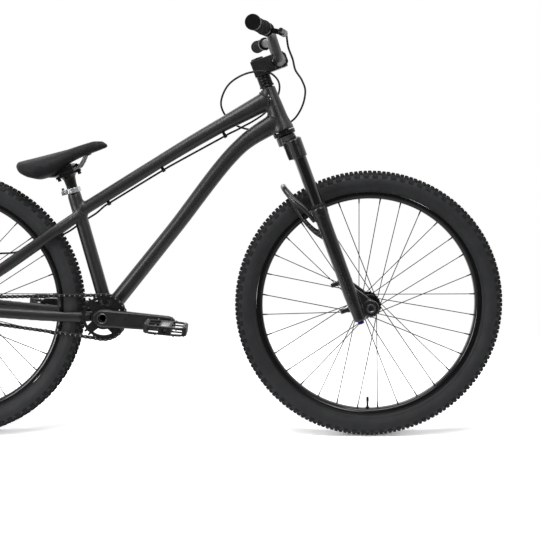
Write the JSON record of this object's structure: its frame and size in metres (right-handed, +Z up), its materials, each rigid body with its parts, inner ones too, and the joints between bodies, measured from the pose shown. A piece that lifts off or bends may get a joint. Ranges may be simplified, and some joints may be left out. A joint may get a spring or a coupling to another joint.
{
  "type": "dirt jump bike",
  "caption": "Hardtail dirt jump bike with a short frame, suspension fork, single-speed chain drive, rear disc brake and knobby tyres.",
  "frame": {"origin": "on the floor, midway between the wheel axles, on the middle plane of the bike", "axes": "+X towards the front wheel, +Y to the left side, away from the chain, +Z up"},
  "size_m": [1.74, 0.7744, 1.0275],
  "materials": {
    "frame_paint": "matte black paint",
    "black_parts": "black anodised",
    "bar_paint": "matte black paint",
    "fork_paint": "satin black paint",
    "fork_tubes": "gloss black anodised",
    "steel": "brushed steel",
    "silver": "satin silver",
    "axle_steel": "satin steel",
    "hose": "black hose jacket",
    "chain_steel": "dark steel",
    "ring_metal": "black anodised",
    "crank_paint": "satin black anodised",
    "pedal_body": "moulded black",
    "grip_rubber": "ribbed black rubber",
    "post_metal": "black anodised",
    "saddle_cover": "charcoal synthetic leather",
    "tyre": "knobby dark rubber",
    "rim_metal": "black anodised with a polished face",
    "hub_metal": "satin black anodised",
    "pad_lining": "brake lining",
    "knob_black": "black anodised",
    "knob_violet": "blue violet anodised"
  },
  "bodies": {
    "frame": {"head_tube": "frame_paint", "top_tube": "frame_paint", "down_tube": "frame_paint", "seat_tube": "frame_paint", "bracket_shell": "frame_paint", "chainstay_right": "frame_paint", "chainstay_left": "frame_paint", "seatstay_right": "frame_paint", "seatstay_left": "frame_paint", "dropout_right": "frame_paint", "dropout_left": "frame_paint", "headset_upper": "black_parts", "headset_lower": "black_parts", "bracket_cup_right": "black_parts", "bracket_cup_left": "black_parts", "seat_clamp": "silver", "rear_axle": "axle_steel", "brake_caliper": "black_parts", "brake_hose": "hose", "chain": "chain_steel"},
    "steering": {"steerer": "steel", "fork_crown": "fork_paint", "stanchion_right": "fork_tubes", "stanchion_left": "fork_tubes", "stem": "black_parts", "stem_faceplate": "black_parts", "headset_spacer": "black_parts", "top_cap": "black_parts", "handlebar": "bar_paint", "grip_right": "grip_rubber", "grip_left": "grip_rubber", "brake_lever_body": "black_parts", "hose_loop": "hose"},
    "fork_lower": {"fork_lowers": "fork_paint", "front_axle": "axle_steel"},
    "front_wheel": {"front_tyre": "tyre", "front_rim": "rim_metal", "front_hub": "hub_metal"},
    "rear_wheel": {"rear_tyre": "tyre", "rear_rim": "rim_metal", "rear_hub": "hub_metal", "brake_rotor": "steel"},
    "drive_sprocket": {"sprocket": "steel"},
    "cranks": {"crank_arm_right": "crank_paint", "crank_arm_left": "crank_paint", "crank_cap": "black_parts", "chainring": "ring_metal", "pedal_axle_right": "axle_steel", "pedal_axle_left": "axle_steel"},
    "right_pedal": {"pedal_right": "pedal_body"},
    "left_pedal": {"pedal_left": "pedal_body"},
    "lever": {"brake_lever_blade": "silver"},
    "right_pad": {"brake_pad_right": "pad_lining"},
    "left_pad": {"brake_pad_left": "pad_lining"},
    "compression_dial": {"compression_knob": "knob_black"},
    "rebound_dial": {"rebound_knob": "knob_violet"},
    "post": {"seatpost": "post_metal", "saddle_clamp": "post_metal"},
    "seat": {"saddle_rails": "steel", "saddle": "saddle_cover"}
  },
  "joints": [
    {"name": "steering_turn", "type": "hinge", "parent": "frame", "child": "steering", "pos_m": [0.4832, 0, 0.3225], "axis": [-0.3502, 0, 0.9367], "range_deg": [-180, 180], "deforming": ["hose_loop"]},
    {"name": "fork_travel", "type": "slide", "parent": "steering", "child": "fork_lower", "axis": [-0.3502, 0, 0.9367], "range_m": [0, 0.1], "stiffness_N_per_m": 5000, "springref_m": -0.03},
    {"name": "front_wheel_spin", "type": "hinge", "parent": "fork_lower", "child": "front_wheel", "pos_m": [0.53, 0, 0.34], "axis": [0, 1, 0], "continuous": true},
    {"name": "rear_wheel_spin", "type": "hinge", "parent": "frame", "child": "rear_wheel", "pos_m": [-0.53, 0, 0.34], "axis": [0, 1, 0], "continuous": true},
    {"name": "crank_spin", "type": "hinge", "parent": "frame", "child": "cranks", "pos_m": [-0.13843, 0, 0.315], "axis": [0, 1, 0], "continuous": true, "deforming": ["chain"]},
    {"name": "sprocket_spin", "type": "hinge", "parent": "frame", "child": "drive_sprocket", "pos_m": [-0.53, 0, 0.34], "axis": [0, 1, 0], "continuous": true},
    {"name": "right_pedal_spin", "type": "hinge", "parent": "cranks", "child": "right_pedal", "pos_m": [0.0262, -0.13, 0.3035], "axis": [0, 1, 0], "continuous": true},
    {"name": "left_pedal_spin", "type": "hinge", "parent": "cranks", "child": "left_pedal", "pos_m": [-0.303, 0.13, 0.3265], "axis": [0, 1, 0], "continuous": true},
    {"name": "brake_lever_pull", "type": "hinge", "parent": "steering", "child": "lever", "pos_m": [0.30393, -0.23267, 1.00263], "axis": [-0.197, 0.0282, -0.98], "range_deg": [0, 18], "stiffness_Nm_per_rad": 0.6, "springref_deg": -20.05},
    {"name": "right_pad_travel", "type": "slide", "parent": "frame", "child": "right_pad", "axis": [0, 1, 0], "range_m": [0, 0.0004]},
    {"name": "left_pad_travel", "type": "slide", "parent": "frame", "child": "left_pad", "axis": [0, -1, 0], "range_m": [0, 0.0004]},
    {"name": "compression_turn", "type": "hinge", "parent": "steering", "child": "compression_dial", "pos_m": [0.49725, -0.066, 0.32775], "axis": [-0.3502, 0, 0.9367], "range_deg": [0, 120]},
    {"name": "rebound_turn", "type": "hinge", "parent": "fork_lower", "child": "rebound_dial", "pos_m": [0.49725, -0.066, 0.32775], "axis": [-0.3502, 0, 0.9367], "range_deg": [-170, 170]},
    {"name": "seatpost_height", "type": "slide", "parent": "frame", "child": "post", "axis": [-0.2571, 0, 0.9664], "range_m": [-0.006, 0.09]},
    {"name": "saddle_reach", "type": "slide", "parent": "post", "child": "seat", "axis": [0.9336, 0, 0.3584], "range_m": [-0.01, 0.01]}
  ],
  "couplings": [
    {"joint": "sprocket_spin", "follows": "crank_spin", "ratio": 2.3333},
    {"joint": "right_pad_travel", "follows": "brake_lever_pull", "m_per_rad": 0.00127},
    {"joint": "left_pad_travel", "follows": "brake_lever_pull", "m_per_rad": 0.00127}
  ]
}
